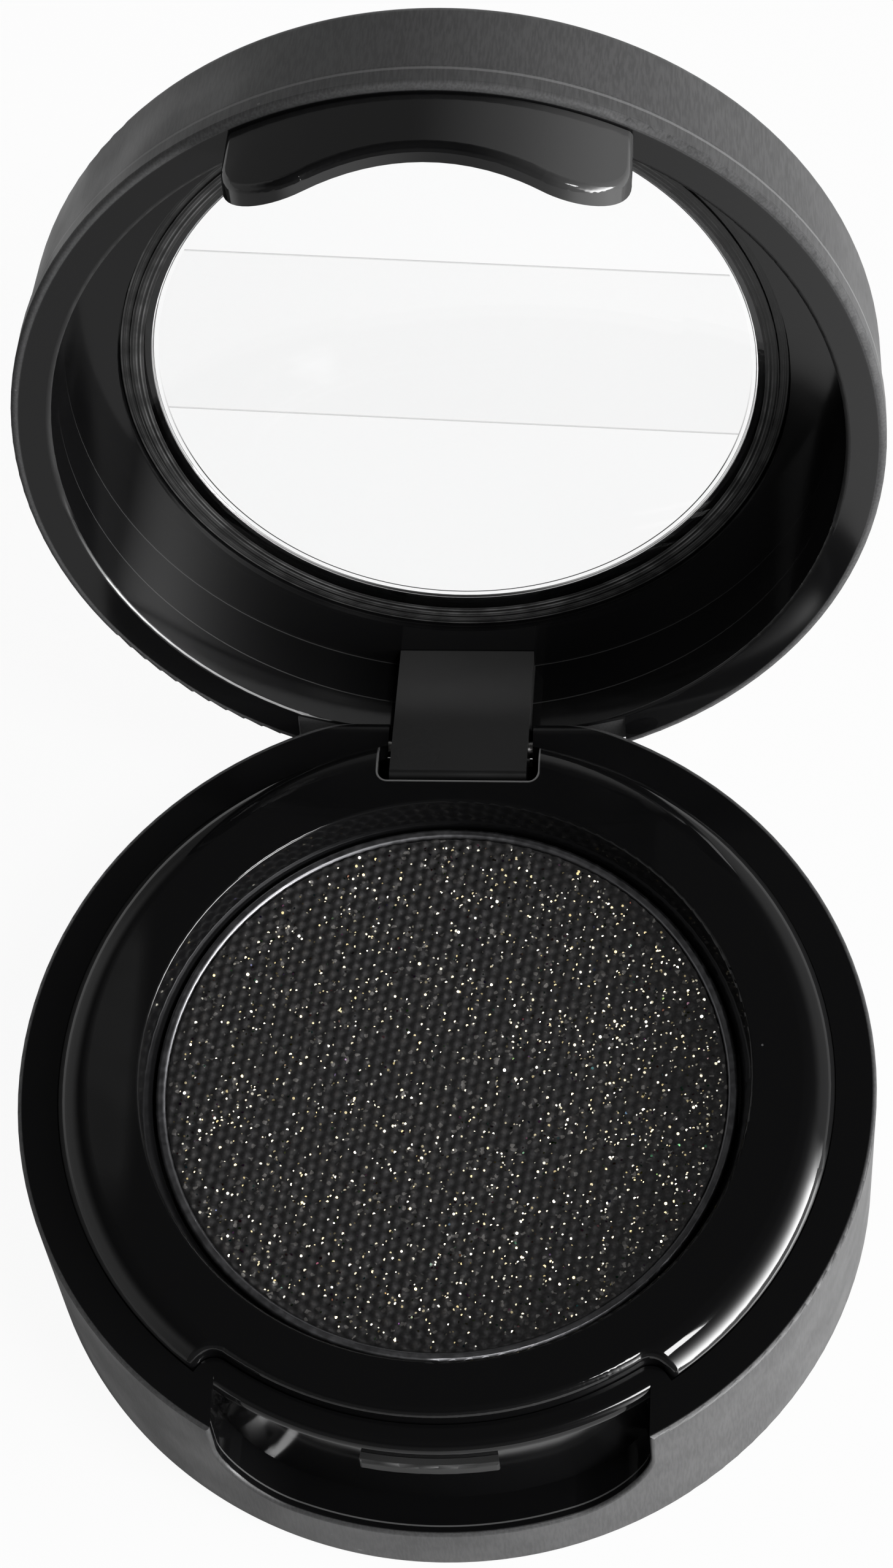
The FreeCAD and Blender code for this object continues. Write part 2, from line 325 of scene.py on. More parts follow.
class CompactMouldingSettings(bpy.types.PropertyGroup):
    colour: bpy.props.FloatVectorProperty(
        name="Plastic colour", description="Colour of the black plastic", subtype="COLOR",
        default=(0.0035, 0.0035, 0.0037), min=0, max=1,
    )
    # The walls' lighter grey is partly the satin finish's own tone and partly painted light, standing in for
    # the pale floor they reflect.
    wall_colour: bpy.props.FloatVectorProperty(
        name="Wall colour", description="Colour of the satin outer walls", subtype="COLOR",
        default=(0.056, 0.056, 0.057), min=0, max=1,
    )
    # Grips: scuffing on the catch, painted light on the lug, and, as the haze, a painted reflection on the
    # tray's left flat.
    scuff_and_painted_light_colour: bpy.props.FloatVectorProperty(
        name="Grip colour", description="Colour of the scuffed lug, the catch and the haze", subtype="COLOR",
        default=(0.011, 0.011, 0.011), min=0, max=1,
    )
    # Pale colour for real dust specks, and also for the painted highlight lines and painted light marks.
    dust_and_painted_highlight_colour: bpy.props.FloatVectorProperty(
        name="Dust colour", description="Colour of dust specks on the plastic", subtype="COLOR",
        default=(0.22, 0.22, 0.22), min=0, max=1,
    )
    wall_roughness: bpy.props.FloatProperty(
        name="Wall roughness", description="Roughness of the satin outer walls", subtype="FACTOR",
        default=0.44, min=0, max=1,
    )
    # The haze named here is the tray's painted reflection patch.
    grip_roughness: bpy.props.FloatProperty(
        name="Grip roughness", description="Roughness of the scuffed lug, the catch and the haze",
        subtype="FACTOR", default=0.55, min=0, max=1,
    )
    inner_roughness: bpy.props.FloatProperty(
        name="Inner roughness", description="Roughness of the glossy inner faces and rims", subtype="FACTOR",
        default=0.1, min=0, max=1,
    )
    tray_roughness: bpy.props.FloatProperty(
        name="Tray roughness", description="Roughness of the polished pan tray", subtype="FACTOR",
        default=0.06, min=0, max=1,
    )
    grain_size: bpy.props.FloatProperty(
        name="Grain size", description="Size of the moulded grain on the walls", unit="LENGTH",
        default=0.1 * MM, min=0.001 * MM, precision=6,
    )
    grain_depth: bpy.props.FloatProperty(
        name="Grain depth", description="Depth of the moulded grain on the walls", unit="LENGTH",
        default=0.0012 * MM, min=0, precision=7,
    )


def black_plastic(name, settings, find_place, masks, smooth_roughness):
    """Moulded black plastic: satin walls in a grey that is partly painted light, rough grips partly painted
    lighter, dull edges, dust specks and painted highlight marks, and glossy elsewhere.
    """
    edge_roughness = 0.85
    hollow_shade = 0.68
    dust_strength = 0.35
    dust_spacing = 1.17 * MM
    dust_density = 0.02
    glossy_grain = 0.08
    smoothest = 0.85
    roughest = 1.15
    material, tree, sockets = new_material(name, IOR=1.52)
    place = find_place(tree)
    walls, scuffs_and_painted_light, edges, marks = [find_mask(tree, place) for find_mask in masks]
    grain = use_group(
        tree, shared_group("Moulded grain", moulded_grain_group), place=place, grain_size=settings.grain_size
    )
    dust = use_group(
        tree, shared_group("Settled dust", dust_group), place=place, spacing=dust_spacing,
        density=dust_density,
    )
    rough = mix_value(tree, walls, smooth_roughness, settings.wall_roughness)
    rough = mix_value(tree, scuffs_and_painted_light, rough, settings.grip_roughness)
    rough = mix_value(tree, edges, rough, edge_roughness)
    polish = blend_range(tree, grain["Polish"], 0.3, 0.7, smoothest, roughest)
    feed(tree, sockets["Roughness"], calc(tree, "MULTIPLY", rough, polish, clamp=True))
    speckle = blend_range(tree, grain["Height"], 0.36, 0.64)
    wall = mix_colour(tree, speckle, shaded(settings.wall_colour, hollow_shade), settings.wall_colour)
    # Walls take the lighter wall colour, partly painted light for the floor they reflect.
    plain = mix_colour(tree, walls, settings.colour, wall)
    # Grips take a lighter colour: painted light on the lug and a painted reflection on the tray.
    plain = mix_colour(tree, scuffs_and_painted_light, plain, settings.scuff_and_painted_light_colour)
    # Real dust specks and the painted highlight and painted light marks take this pale colour.
    dust_and_painted_light = largest(tree, product(tree, dust["Mask"], dust_strength), marks)
    feed(tree, sockets["Base Color"], mix_colour(tree, dust_and_painted_light, plain, settings.dust_and_painted_highlight_colour))
    height = product(tree, grain["Height"], mix_value(tree, walls, glossy_grain, 1.0))
    feed(tree, sockets["Normal"], bump(tree, height, settings.grain_depth))
    return material


def no_mask(tree, place):
    return 0.0


def base_wall_mask(tree, place):
    """The cup's outer wall, up to its rounded rim edge."""
    glossy_radius = OUTER_RADIUS - 0.22 * MM
    satin_radius = OUTER_RADIUS - 0.14 * MM
    radius, _ = radius_and_height(tree, place)
    return blend_range(tree, radius, glossy_radius, satin_radius)


def catch_mask(tree, place):
    """The catch bar at the back of the clasp's recess."""
    half_width = 3.05 * MM
    low = RIM_HEIGHT - 1.8 * MM
    high = RIM_HEIGHT - 0.8 * MM
    back = OUTER_RADIUS - 1.79 * MM
    front = OUTER_RADIUS - 1.2 * MM
    radius, height = radius_and_height(tree, place)
    across, _ = across_and_along(tree, place)
    return product(
        tree,
        below(tree, calc(tree, "ABSOLUTE", across), half_width),
        between(tree, height, low, high),
        between(tree, radius, back, front),
    )


def recess_painted_highlight_mask(tree, place):
    """Thin painted highlight line where the clasp's recess rounds over to the outer wall."""
    strength = 0.4
    half_width = 0.035 * MM
    line_radius = OUTER_RADIUS - 0.47 * MM
    low = 1.0 * MM
    high = RIM_HEIGHT - 0.1 * MM
    radius, height = radius_and_height(tree, place)
    _, along = across_and_along(tree, place)
    return product(
        tree,
        near(tree, radius, line_radius, half_width),
        between(tree, height, low, high),
        below(tree, along, 0.0),
        strength,
    )


def tray_painted_reflection_mask(tree, place):
    """Painted reflection on the flat of the tray's left side, which is also made rougher."""
    strength = 0.55
    middle = 0.5 * MM
    full_across = -14.2 * MM
    clear_across = -13.2 * MM
    full_reach = 5.0 * MM
    clear_reach = 8.5 * MM
    full_radius = OUTER_RADIUS - 3.3 * MM
    clear_radius = OUTER_RADIUS - 2.9 * MM
    radius, _ = radius_and_height(tree, place)
    across, along = across_and_along(tree, place)
    from_middle = calc(tree, "ABSOLUTE", calc(tree, "SUBTRACT", along, middle))
    return product(
        tree,
        blend_range(tree, across, full_across, clear_across, 1.0, 0.0),
        blend_range(tree, from_middle, full_reach, clear_reach, 1.0, 0.0),
        blend_range(tree, radius, full_radius, clear_radius, strength, 0.0),
    )


def notch_painted_highlight_mask(tree, place):
    """Thin painted highlight line where the tray's top breaks into the notch for the lid's lug."""
    strength = 0.5
    corner = 0.45 * MM
    notch_reach = 3.4 * MM
    past_front = 0.3 * MM
    top_height = RIM_HEIGHT + 0.4 * MM
    line_height = RIM_HEIGHT + 0.3 * MM
    line_width = 0.06 * MM
    faded_width = 0.12 * MM
    top = [vert.co for vert in nodes["pan_tray"].data.vertices if vert.co.z > top_height]
    front = max(point.y for point in top if abs(point.x) < notch_reach)
    half_width = min(abs(point.x) for point in top if point.y > front + past_front)
    _, height = radius_and_height(tree, place)
    across, along = across_and_along(tree, place)
    aside = calc(tree, "ADD", calc(tree, "ABSOLUTE", across), corner - half_width)
    ahead = calc(tree, "SUBTRACT", front + corner, along)
    from_corner = hypotenuse(tree, largest(tree, aside, 0.0), largest(tree, ahead, 0.0))
    outside = calc(tree, "SUBTRACT", from_corner, corner)
    line = blend_range(tree, outside, line_width, faded_width, 1.0, 0.0)
    return product(tree, line, above(tree, height, line_height), strength)


# Heights on the closed lid at which its finish changes
LID_CEILING = RIM_HEIGHT + 5.05 * MM
WALL_STEP = RIM_HEIGHT + 2.4 * MM
SKIRT_LINE = RIM_HEIGHT + 1.22 * MM


def lid_wall_mask(tree, place):
    """The closed lid's outside, from its rounded rim edge up and over its top."""
    glossy_radius = OUTER_RADIUS - 0.28 * MM
    satin_radius = OUTER_RADIUS - 0.18 * MM
    glossy_height = RIM_HEIGHT + 0.12 * MM
    satin_height = RIM_HEIGHT + 0.2 * MM
    wall_radius = OUTER_RADIUS - 1.4 * MM
    seat_height = closed_heights("lid_window")[1] + 0.1 * MM
    hole_radius = FILM_RADIUS + 0.35 * MM
    radius, height = radius_and_height(tree, place)
    edge = blend_range(tree, radius, glossy_radius, satin_radius)
    over_rim = blend_range(tree, height, glossy_height, satin_height)
    outside = above(tree, radius, wall_radius)
    over_seat = above(tree, height, seat_height)
    round_hole = above(tree, radius, hole_radius)
    return largest(tree, edge, product(tree, over_rim, outside), product(tree, over_seat, round_hole))


def lid_edge_mask(tree, place):
    """The rim's outer edge all round and its inner edge in front, which wear dull."""
    edge_height = RIM_HEIGHT + 0.42 * MM
    outer_edge = OUTER_RADIUS - 0.2 * MM
    inner_start = LID_INNER_RADIUS - 0.05 * MM
    inner_end = LID_INNER_RADIUS + 0.2 * MM
    dull_along = 2 * MM
    glossy_along = 5 * MM
    radius, height = radius_and_height(tree, place)
    _, along = across_and_along(tree, place)
    low = below(tree, height, edge_height)
    outer = above(tree, radius, outer_edge)
    inner = between(tree, radius, inner_start, inner_end)
    in_front = blend_range(tree, along, dull_along, glossy_along, 1.0, 0.0)
    return product(tree, low, largest(tree, outer, product(tree, inner, in_front)))


def lid_lug_mask(tree, place):
    """The hinge lug, up to the ceiling inside the lid."""
    half_width = 3.2 * MM
    front = HINGE_PLACE.y - 1.05 * MM
    across, along, height = split_place(tree, place)
    narrow = below(tree, calc(tree, "ABSOLUTE", across), half_width)
    return product(tree, narrow, below(tree, height, LID_CEILING), above(tree, along, front))


def lid_lug_rough_and_painted_light_mask(tree, place):
    """The hinge lug, rougher and painted lighter towards the lid's ceiling, where it shows inside the lid;
    the lighter colour is painted light.
    """
    least_rough_and_painted_light = 0.45
    least_height = RIM_HEIGHT - 0.5 * MM
    full_height = RIM_HEIGHT + 1.5 * MM
    _, height = radius_and_height(tree, place)
    # Rougher and painted lighter with height; the lighter colour is painted light.
    scuffed = blend_range(tree, height, least_height, full_height, least_rough_and_painted_light, 1.0)
    return product(tree, scuffed, lid_lug_mask(tree, place))


def inner_wall_lines(tree, place):
    """Two fine painted highlight lines round the back of the lid's inner wall: at a step, and at the corner
    at the ceiling.
    """
    strength = 0.16
    half_width = 0.035 * MM
    wall_start = LID_INNER_RADIUS - 0.02 * MM
    wall_end = LID_INNER_RADIUS + 0.1 * MM
    clear_along = -2 * MM
    full_along = 6 * MM
    radius, height = radius_and_height(tree, place)
    _, along = across_and_along(tree, place)
    on_wall = between(tree, radius, wall_start, wall_end)
    behind = blend_range(tree, along, clear_along, full_along, 0.0, strength)
    lines = [near(tree, height, level, half_width) for level in (WALL_STEP, LID_CEILING)]
    return product(tree, on_wall, behind, largest(tree, *lines))


def rim_lip_line(tree, place):
    """Painted highlight line on the rounded inner edge of the rim, behind and on the left."""
    strength = 0.9
    lip_start = LID_INNER_RADIUS + 0.01 * MM
    lip_end = LID_INNER_RADIUS + 0.08 * MM
    lip_height = RIM_HEIGHT + 0.28 * MM
    full_across = -4 * MM
    clear_across = -2 * MM
    clear_along = 4 * MM
    full_along = 9 * MM
    radius, height = radius_and_height(tree, place)
    across, along = across_and_along(tree, place)
    return product(
        tree,
        between(tree, radius, lip_start, lip_end),
        below(tree, height, lip_height),
        blend_range(tree, across, full_across, clear_across, strength, 0.0),
        blend_range(tree, along, clear_along, full_along),
    )


def skirt_line(tree, place):
    """Painted highlight line round the lid's skirt, just below its step."""
    strength = 0.4
    half_width = 0.085 * MM
    skirt_radius = OUTER_RADIUS - 0.5 * MM
    radius, height = radius_and_height(tree, place)
    outside = above(tree, radius, skirt_radius)
    return product(tree, near(tree, height, SKIRT_LINE, half_width), outside, strength)


def lug_painted_light(tree, place):
    """Painted light on the hinge lug, lighter towards the lid's ceiling."""
    strength = 0.09
    full_height = RIM_HEIGHT + 2.5 * MM
    _, height = radius_and_height(tree, place)
    # This share is painted light, stronger towards the lid's ceiling.
    scuffed = blend_range(tree, height, RIM_HEIGHT, full_height, 0.0, strength)
    return product(tree, scuffed, lid_lug_mask(tree, place))


def tab_painted_light(tree, place):
    """Painted light on the clasp tab, lighter towards its right end."""
    strength = 0.2
    tab_along = -0.5 * OUTER_RADIUS
    tab_height = RIM_HEIGHT + 0.05 * MM
    clear_across = 1.5 * MM
    full_across = 8 * MM
    across, along, height = split_place(tree, place)
    in_front = below(tree, along, tab_along)
    under_rim = below(tree, height, tab_height)
    # This share is painted light, stronger towards the tab's right end.
    scuffed = blend_range(tree, across, clear_across, full_across, 0.0, strength)
    return product(tree, in_front, under_rim, scuffed)


def lid_mark_mask(tree, place):
    """All painted highlight lines and painted light on the lid."""
    marks = (inner_wall_lines, rim_lip_line, skirt_line, lug_painted_light, tab_painted_light)
    return largest(tree, *[find_mark(tree, place) for find_mark in marks])


def finish_node(name, material):
    slots = nodes[name].material_slots
    if not slots:
        nodes[name].data.materials.append(material)
    for slot in slots:
        slot.material = material


class COMPACT_OT_black_mouldings(bpy.types.Operator):
    """Finish the base, the pan tray and the lid in moulded black plastic"""
    bl_idname = "compact.black_mouldings"
    bl_label = "Black mouldings"

    def execute(self, context):
        settings = context.scene.compact_moulding
        shell = black_plastic(
            "Base plastic", settings, object_place, (base_wall_mask, catch_mask, no_mask, recess_painted_highlight_mask),
            settings.inner_roughness,
        )
        tray = black_plastic(
            "Tray plastic", settings, object_place, (no_mask, tray_painted_reflection_mask, no_mask, notch_painted_highlight_mask),
            settings.tray_roughness,
        )
        lid = black_plastic(
            "Lid plastic", settings, closed_lid_place,
            (lid_wall_mask, lid_lug_rough_and_painted_light_mask, lid_edge_mask, lid_mark_mask), settings.inner_roughness,
        )
        finish_node("base_shell", shell)
        finish_node("pan_tray", tray)
        finish_node("lid_shell", lid)
        return {"FINISHED"}


# Aluminium pan, steel pin and the glue pad

class CompactMetalSettings(bpy.types.PropertyGroup):
    pan_colour: bpy.props.FloatVectorProperty(
        name="Pan colour", description="Colour of the aluminium pan", subtype="COLOR",
        default=(0.24, 0.24, 0.25), min=0, max=1,
    )
    pin_colour: bpy.props.FloatVectorProperty(
        name="Pin colour", description="Colour of the steel hinge pin", subtype="COLOR",
        default=(0.52, 0.51, 0.5), min=0, max=1,
    )
    glue_colour: bpy.props.FloatVectorProperty(
        name="Glue colour", description="Colour of the glue pad under the pan", subtype="COLOR",
        default=(0.7, 0.62, 0.44), min=0, max=1,
    )
    pan_roughness: bpy.props.FloatProperty(
        name="Pan roughness", description="Roughness of the pressed aluminium", subtype="FACTOR",
        default=0.38, min=0, max=1,
    )
    pin_roughness: bpy.props.FloatProperty(
        name="Pin roughness", description="Roughness of the drawn steel", subtype="FACTOR",
        default=0.28, min=0, max=1,
    )


def drawn_metal(name, colour, roughness, streak_size):
    """Bare metal with fine streaks left by drawing or pressing."""
    streak_depth = 0.001 * MM
    dark_streak = shaded(colour, 0.8)
    smoothest = 0.8 * roughness
    roughest = 1.2 * roughness
    material, tree, sockets = new_material(name, Metallic=1.0)
    streaks = noise(tree, object_place(tree), streak_size, detail=4.0)
    feed(tree, sockets["Base Color"], mix_colour(tree, streaks, dark_streak, colour))
    feed(tree, sockets["Roughness"], blend_range(tree, streaks, 0.2, 0.8, smoothest, roughest))
    feed(tree, sockets["Normal"], bump(tree, streaks, streak_depth))
    return material


def glue_material(colour):
    """Lumpy glue, partly glossy."""
    lump_size = 1.2 * MM
    pale_lump = shaded(colour, 1.2)
    smoothest = 0.3
    roughest = 0.6
    material, tree, sockets = new_material("Glue pad", IOR=1.45)
    lumps = noise(tree, object_place(tree), lump_size)
    feed(tree, sockets["Base Color"], mix_colour(tree, lumps, colour, pale_lump))
    feed(tree, sockets["Roughness"], blend_range(tree, lumps, 0.2, 0.8, smoothest, roughest))
    return material


class COMPACT_OT_metal_and_glue(bpy.types.Operator):
    """Finish the powder pan, the hinge pin and the glue pad under the pan"""
    bl_idname = "compact.metal_and_glue"
    bl_label = "Pan, pin and glue"

    def execute(self, context):
        settings = context.scene.compact_metal
        pan_streak = 0.4 * MM
        pin_streak = 0.2 * MM
        pan = drawn_metal("Pan aluminium", settings.pan_colour, settings.pan_roughness, pan_streak)
        pin = drawn_metal("Pin steel", settings.pin_colour, settings.pin_roughness, pin_streak)
        finish_node("powder_pan", pan)
        finish_node("hinge_pin", pin)
        finish_node("pan_adhesive", glue_material(settings.glue_colour))
        return {"FINISHED"}


# Pressed powder with its glitter

class CompactPowderSettings(bpy.types.PropertyGroup):
    colour: bpy.props.FloatVectorProperty(
        name="Powder colour", description="Main colour of the pressed powder", subtype="COLOR",
        default=(0.024, 0.0225, 0.0245), min=0, max=1,
    )
    warm_colour: bpy.props.FloatVectorProperty(
        name="Warm tint", description="Colour of the warmer patches", subtype="COLOR",
        default=(0.035, 0.031, 0.0285), min=0, max=1,
    )
    press_pitch: bpy.props.FloatProperty(
        name="Press pitch", description="Distance between the press's rows of dots", unit="LENGTH",
        default=0.479 * MM, min=0.1 * MM, precision=6,
    )
    press_depth: bpy.props.FloatProperty(
        name="Press depth", description="Depth between the dots that the press leaves", unit="LENGTH",
        default=0.14 * MM, min=0, precision=6,
    )
    press_turn: bpy.props.FloatProperty(
        name="Press turn", description="Turn of the press's rows about the compact's middle", subtype="ANGLE",
        default=math.radians(-8.6),
    )
    edge_round: bpy.props.FloatProperty(
        name="Edge round", description="Rounding of the powder's edge at the pan", unit="LENGTH",
        default=0.15 * MM, min=0, precision=6,
    )
    columns: bpy.props.IntProperty(
        name="Columns", description="Mesh columns across the powder", default=260, min=16,
    )
    rows: bpy.props.IntProperty(
        name="Rows", description="Mesh rows along the compact's depth", default=300, min=16,
    )


def press_height(x, y, settings):
    """Height of the press's mark below its highest dots: three rows of waves that cross at 60 degrees."""
    rows = 3
    lowest = -1.5
    total = 0.0
    for row in range(rows):
        turn = settings.press_turn + row * math.pi / rows
        along = x * math.cos(turn) + y * math.sin(turn)
        total += math.cos(2 * math.pi * along / settings.press_pitch)
    return settings.press_depth * (total - rows) / (rows - lowest)


def powder_surface(x, y, settings):
    """Height of the powder's top, rounded down at its edge and never above the cake's own top."""
    edge = max(0.0, math.hypot(x, y) - (CAKE_RADIUS - settings.edge_round))
    drop = settings.edge_round - math.sqrt(max(0.0, settings.edge_round ** 2 - edge ** 2))
    return CAKE_HIGH.z + press_height(x, y, settings) - drop


def new_object(name, mesh):
    """Turn a bmesh into an object in the scene."""
    data = bpy.data.meshes.new(name)
    mesh.to_mesh(data)
    mesh.free()
    made = bpy.data.objects.new(name, data)
    bpy.context.scene.collection.objects.link(made)
    return made


def new_piece(name, mesh, body):
    """Turn a bmesh into an object that rides on a body."""
    piece = new_object(name, mesh)
    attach(piece, body)
    return piece


def make_powder_mesh(settings):
    """Square grid squeezed into a disc, raised in dots, with a wall and a closed underside."""
    merge_distance = 0.002 * MM
    top_slope = 0.3
    mesh = bmesh.new()
    bmesh.ops.create_grid(mesh, x_segments=settings.columns, y_segments=settings.rows, size=1.0)
    for vert in mesh.verts:
        turn = vert.co.y * math.pi / 2
        x = vert.co.x * CAKE_RADIUS * math.cos(turn)
        y = CAKE_RADIUS * math.sin(turn)
        vert.co = Vector((x, y, powder_surface(x, y, settings)))
    bmesh.ops.remove_doubles(mesh, verts=mesh.verts, dist=merge_distance)
    rim = [edge for edge in mesh.edges if edge.is_boundary]
    wall = bmesh.ops.extrude_edge_only(mesh, edges=rim)["geom"]
    lower = [item for item in wall if isinstance(item, bmesh.types.BMVert)]
    for vert in lower:
        vert.co.z = CAKE_LOW.z
    loop = [edge for edge in mesh.edges if edge.is_boundary]
    bmesh.ops.edgeloop_fill(mesh, edges=loop)
    bmesh.ops.recalc_face_normals(mesh, faces=mesh.faces)
    for face in mesh.faces:
        face.smooth = len(face.verts) == 4 and face.normal.z > top_slope
    return mesh


def powder_material(settings):
    """Dry powder in mottled grains, with painted shade between the dots and a few pale specks painted on as
    shimmer glints.
    """
    hollow_colour = (0.009, 0.0085, 0.009)
    spark_colour = (0.2, 0.19, 0.18)
    grain_shade = grey(0.004)
    patch_size = 1.6 * MM
    uneven_size = 0.5 * MM
    grain_size = 0.11 * MM
    grain_depth = 0.02 * MM
    grain_strength = 0.8
    spark_size = 0.16 * MM
    spark_share = 0.07
    smoothest = 0.55
    roughest = 0.85
    hollow_height = CAKE_HIGH.z - 0.9 * settings.press_depth
    material, tree, sockets = new_material("Pressed powder", IOR=1.4, Sheen_Weight=0.06, Sheen_Roughness=0.6)
    place = object_place(tree)
    _, height = radius_and_height(tree, place)
    patches = blend_range(tree, noise(tree, place, patch_size, detail=4.0), 0.4, 0.65)
    uneven = blend_range(tree, noise(tree, place, uneven_size, detail=1.0), 0.35, 0.65, 0.35, 1.0)
    grains = noise(tree, place, grain_size, detail=3.0)
    _, lot, brightness = cells(tree, place, spark_size)
    # Painted glints: a few pale specks stand in for shimmer catching the light.
    spark = product(
        tree, above(tree, lot, 1 - spark_share), blend_range(tree, brightness, 0.2, 1.0, 0.05, 0.6)
    )
    dots = blend_range(tree, height, hollow_height, CAKE_HIGH.z)
    base = mix_colour(tree, patches, settings.colour, settings.warm_colour)
    # Painted shade: darker colour in the hollows between the press's dots.
    tone = mix_colour(tree, product(tree, dots, uneven), hollow_colour, base)
    mottled = mix_colour(tree, blend_range(tree, grains, 0.35, 0.7, 0.0, 0.6), tone, grain_shade)
    feed(tree, sockets["Base Color"], mix_colour(tree, spark, mottled, spark_colour))
    feed(tree, sockets["Roughness"], blend_range(tree, grains, 0.2, 0.8, smoothest, roughest))
    feed(tree, sockets["Normal"], bump(tree, grains, grain_depth, grain_strength))
    return material


class COMPACT_OT_pressed_powder(bpy.types.Operator):
    """Model the dotted top of the pressed powder in place of the plain cake"""
    bl_idname = "compact.pressed_powder"
    bl_label = "Pressed powder"

    def execute(self, context):
        settings = context.scene.compact_powder
        powder = new_piece("pressed_powder", make_powder_mesh(settings), "base")
        powder.data.materials.append(powder_material(settings))
        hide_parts("powder_cake")
        return {"FINISHED"}


class CompactGlitterSettings(bpy.types.PropertyGroup):
    bright_count: bpy.props.IntProperty(
        name="Bright flakes", description="Number of bare flakes that catch the light", default=2250, min=0,
    )
    dim_count: bpy.props.IntProperty(
        name="Dim flakes", description="Number of flakes that powder covers", default=1100, min=0,
    )
    small: bpy.props.FloatProperty(
        name="Smallest", description="Width of the smallest flakes", unit="LENGTH",
        default=0.07 * MM, min=0.01 * MM, precision=6,
    )
    large: bpy.props.FloatProperty(
        name="Largest", description="Width of the largest flakes", unit="LENGTH",
        default=0.145 * MM, min=0.01 * MM, precision=6,
    )
    lean: bpy.props.FloatProperty(
        name="Lean", description="How far a bare flake leans in the powder", subtype="ANGLE",
        default=math.radians(27), min=math.radians(1), max=math.radians(80),
    )
    facing: bpy.props.FloatProperty(
        name="Facing", description="Side to which the bare flakes lean", subtype="ANGLE",
        default=math.radians(-58),
    )
    scatter: bpy.props.FloatProperty(
        name="Scatter", description="Spread of the bare flakes' lean", subtype="ANGLE",
        default=math.radians(9), min=0,
    )
    drift: bpy.props.FloatProperty(
        name="Drift", description="How much the flakes gather on the right", subtype="FACTOR",
        default=0.22, min=0, max=0.9,
    )
    seed: bpy.props.IntProperty(name="Seed", description="Seed of the flakes' places", default=11)
    bright_colour: bpy.props.FloatVectorProperty(
        name="Bright colour", description="Colour of the whitest flakes", subtype="COLOR",
        default=(0.95, 0.92, 0.8), min=0, max=1,
    )
    gold_colour: bpy.props.FloatVectorProperty(
        name="Gold colour", description="Colour of the warmest flakes", subtype="COLOR",
        default=(0.9, 0.72, 0.34), min=0, max=1,
    )
    dim_colour: bpy.props.FloatVectorProperty(
        name="Dim colour", description="Colour of the flakes that powder covers", subtype="COLOR",
        default=(0.12, 0.11, 0.1), min=0, max=1,
    )


def flake_tint(draw, is_bright, settings):
    """Bare flakes range from white to gold, and covered ones from dark to dim."""
    more_white = 1.5
    if not is_bright:
        return [draw.uniform(0.2, 1.0) * part for part in settings.dim_colour] + [1.0]
    gold = draw.random() ** more_white
    pairs = zip(settings.bright_colour, settings.gold_colour)
    bare = draw.uniform(0.6, 1.0)
    return [bare * (white + (warm - white) * gold) for white, warm in pairs] + [1.0]


def flake_place(draw, reach, settings):
    """Spot on the powder, a little more often near its edge and on the right."""
    near_edge = 0.45
    distance = reach * draw.random() ** near_edge
    angle = draw.uniform(0, 2 * math.pi)
    angle -= settings.drift * math.sin(angle)
    return distance * math.cos(angle), distance * math.sin(angle)


def add_flake(mesh, tints, draw, is_bright, reach, settings, powder):
    """One flat six-sided flake, partly sunk in the powder; a bare one leans to the light."""
    thickness = 0.02 * MM
    bare_height = 0.03 * MM
    sunk_share = 0.35
    more_small = 1.6
    x, y = flake_place(draw, reach, settings)
    width = settings.small + (settings.large - settings.small) * draw.random() ** more_small
    lean = draw.gauss(settings.lean, settings.scatter) if is_bright else draw.uniform(0, settings.lean)
    spread = settings.scatter / math.sin(settings.lean)
    facing = draw.gauss(settings.facing, spread) if is_bright else draw.uniform(0, 2 * math.pi)
    sink = max(0.0, sunk_share * width * math.sin(lean) - bare_height)
    turn = Matrix.Rotation(facing, 4, "Z") @ Matrix.Rotation(lean, 4, "Y")
    place = Matrix.Translation((x, y, powder_surface(x, y, powder) - sink))
    flake = bmesh.ops.create_cone(
        mesh, cap_ends=True, cap_tris=False, segments=6, radius1=width / 2, radius2=width / 2,
        depth=thickness, matrix=place @ turn,
    )
    tint = flake_tint(draw, is_bright, settings)
    for vert in flake["verts"]:
        for loop in vert.link_loops:
            loop[tints] = tint


def make_glitter_mesh(settings, powder):
    """All flakes in one mesh, made in small batches because an operator slows as its mesh grows."""
    batch_size = 100
    draw = random.Random(settings.seed)
    reach = CAKE_RADIUS - powder.edge_round - settings.large / 2
    kinds = [True] * settings.bright_count + [False] * settings.dim_count
    whole = bmesh.new()
    for start in range(0, len(kinds), batch_size):
        batch = bmesh.new()
        tints = batch.loops.layers.float_color.new("flake_tint")
        for is_bright in kinds[start:start + batch_size]:
            add_flake(batch, tints, draw, is_bright, reach, settings, powder)
        data = bpy.data.meshes.new("flake_batch")
        batch.to_mesh(data)
        batch.free()
        whole.from_mesh(data)
        bpy.data.meshes.remove(data)
    return whole


def glitter_material():
    material, tree, sockets = new_material("Glitter", Metallic=1.0, Roughness=0.3)
    tint = add_node(tree, "ShaderNodeVertexColor", layer_name="flake_tint")
    feed(tree, sockets["Base Color"], tint.outputs["Color"])
    return material


class COMPACT_OT_glitter(bpy.types.Operator):
    """Scatter glitter flakes in the powder's surface"""
    bl_idname = "compact.glitter"
    bl_label = "Glitter"

    def execute(self, context):
        mesh = make_glitter_mesh(context.scene.compact_glitter, context.scene.compact_powder)
        flakes = new_piece("glitter_flakes", mesh, "base")
        flakes.data.materials.append(glitter_material())
        return {"FINISHED"}


# Clear window and its film

